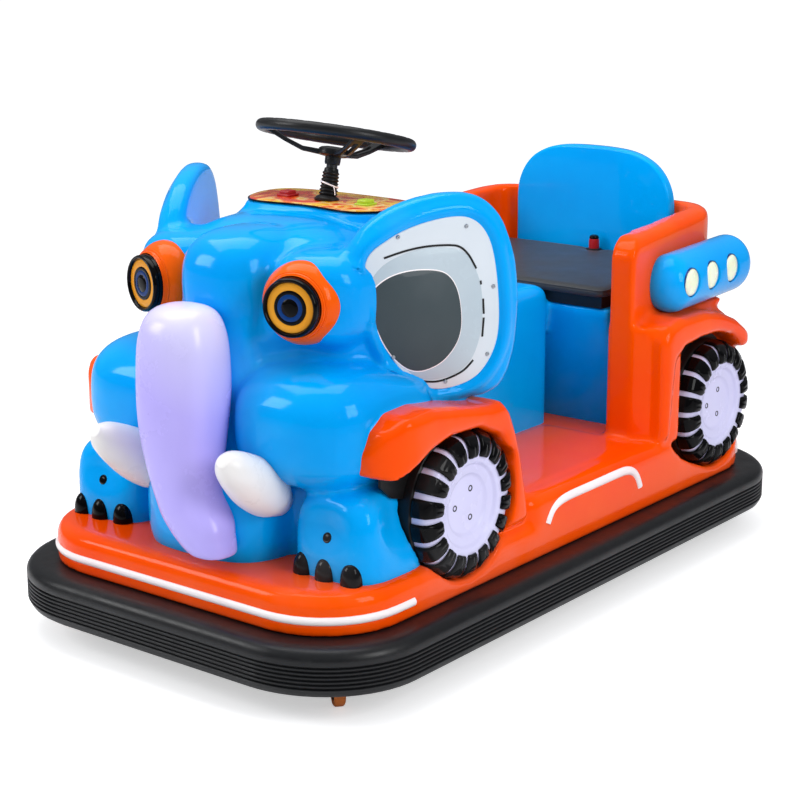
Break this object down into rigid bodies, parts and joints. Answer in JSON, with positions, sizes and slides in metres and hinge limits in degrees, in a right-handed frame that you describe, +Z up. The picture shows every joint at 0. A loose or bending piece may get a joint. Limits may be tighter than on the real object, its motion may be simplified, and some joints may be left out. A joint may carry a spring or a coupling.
{
  "type": "bumper car",
  "caption": "Ride-on electric bumper car shaped as an elephant, with a ribbed rubber ring, bench seat in a wrap-round tub, steered drive wheel and casters.",
  "frame": {"origin": "on the floor, under the middle of the bumper ring", "axes": "-Y towards the nose, +X towards the driver's left, +Z up"},
  "size_m": [1.034, 1.85, 1.1186],
  "materials": {
    "bumper_rubber": "satin ribbed rubber",
    "orange_shell": "gloss gel coat",
    "blue_shell": "gloss gel coat",
    "lavender_shell": "gloss gel coat",
    "ivory_shell": "gloss gel coat",
    "ear_plate": "gloss printed plate",
    "gloss_black": "gloss",
    "amber_lens": "clear gloss",
    "printed_plate": "gloss plate in orange and yellow",
    "red_plastic": "gloss",
    "green_plastic": "gloss",
    "matte_black": "grained",
    "vinyl": "satin padded vinyl",
    "battery_case": "matt",
    "lamp_cream": "translucent",
    "black_steel": "satin black paint",
    "zinc": "zinc plate",
    "orange_tyre": "cast polyurethane",
    "black_tyre": "matt rubber"
  },
  "bodies": {
    "car": {"rubber_bumper": "bumper_rubber", "deck_shell": "orange_shell", "chassis_sheet": "black_steel", "chassis_rim": "black_steel", "chassis_frame": "black_steel", "front_fender_left": "orange_shell", "front_fender_right": "orange_shell", "elephant_body": "blue_shell", "trunk": "lavender_shell", "tusk_left": "ivory_shell", "tusk_right": "ivory_shell", "ear_left": "blue_shell", "ear_right": "blue_shell", "ear_panel_left": "ear_plate", "ear_panel_right": "ear_plate", "eye_ring_left": "orange_shell", "eye_ring_right": "orange_shell", "eye_bezel_left": "gloss_black", "eye_bezel_right": "gloss_black", "eye_lens_left": "amber_lens", "eye_lens_right": "amber_lens", "toenails_left": "gloss_black", "toenails_right": "gloss_black", "dash_panel": "printed_plate", "start_button": "red_plastic", "horn_button": "green_plastic", "column_boot": "matte_black", "seat_box": "blue_shell", "seat_board": "matte_black", "seat_cushion": "vinyl", "backrest": "blue_shell", "belt_buckle": "red_plastic", "battery_pack": "battery_case", "rear_tub": "orange_shell", "rear_fender_left": "orange_shell", "rear_fender_right": "orange_shell", "light_pod_left": "blue_shell", "light_pod_right": "blue_shell", "pod_lamps_left": "lamp_cream", "pod_lamps_right": "lamp_cream", "front_arch_wheel_left": "lavender_shell", "front_arch_wheel_right": "lavender_shell", "rear_arch_wheel_left": "lavender_shell", "rear_arch_wheel_right": "lavender_shell", "rear_axle": "zinc", "caster_plate_left": "zinc", "caster_plate_right": "zinc"},
    "steering": {"steering_wheel": "matte_black", "steering_shaft": "black_steel"},
    "drive_unit": {"drive_fork": "black_steel"},
    "drive_wheel": {"drive_wheel": "orange_tyre"},
    "rear_wheel_left": {"rear_wheel_left": "black_tyre"},
    "rear_wheel_right": {"rear_wheel_right": "black_tyre"},
    "caster_left": {"caster_fork_left": "zinc"},
    "caster_wheel_left": {"caster_wheel_left": "orange_tyre"},
    "caster_right": {"caster_fork_right": "zinc"},
    "caster_wheel_right": {"caster_wheel_right": "orange_tyre"}
  },
  "joints": [
    {"name": "steering_turn", "type": "hinge", "parent": "car", "child": "steering", "pos_m": [0, -0.31451, 1.07041], "axis": [0, 0.225, 0.9744], "range_deg": [-90, 90]},
    {"name": "drive_unit_turn", "type": "hinge", "parent": "car", "child": "drive_unit", "pos_m": [0, -0.425, 0.14], "axis": [0, 0, 1], "range_deg": [-90, 90]},
    {"name": "drive_wheel_roll", "type": "hinge", "parent": "drive_unit", "child": "drive_wheel", "pos_m": [0, -0.425, 0.06], "axis": [1, 0, 0], "continuous": true},
    {"name": "rear_wheel_left_roll", "type": "hinge", "parent": "car", "child": "rear_wheel_left", "pos_m": [0.33, 0.52, 0.054], "axis": [1, 0, 0], "continuous": true},
    {"name": "rear_wheel_right_roll", "type": "hinge", "parent": "car", "child": "rear_wheel_right", "pos_m": [-0.33, 0.52, 0.054], "axis": [1, 0, 0], "continuous": true},
    {"name": "caster_left_swivel", "type": "hinge", "parent": "car", "child": "caster_left", "pos_m": [0.352, -0.75, 0.08], "axis": [0, 0, 1], "continuous": true},
    {"name": "caster_wheel_left_roll", "type": "hinge", "parent": "caster_left", "child": "caster_wheel_left", "pos_m": [0.37011, -0.76575, 0.032], "axis": [-0.6561, -0.7547, 0], "continuous": true},
    {"name": "caster_right_swivel", "type": "hinge", "parent": "car", "child": "caster_right", "pos_m": [-0.352, -0.75, 0.08], "axis": [0, 0, 1], "continuous": true},
    {"name": "caster_wheel_right_roll", "type": "hinge", "parent": "caster_right", "child": "caster_wheel_right", "pos_m": [-0.37011, -0.76575, 0.032], "axis": [-0.6561, 0.7547, 0], "continuous": true}
  ],
  "couplings": [
    {"joint": "drive_unit_turn", "follows": "steering_turn", "ratio": 1}
  ]
}
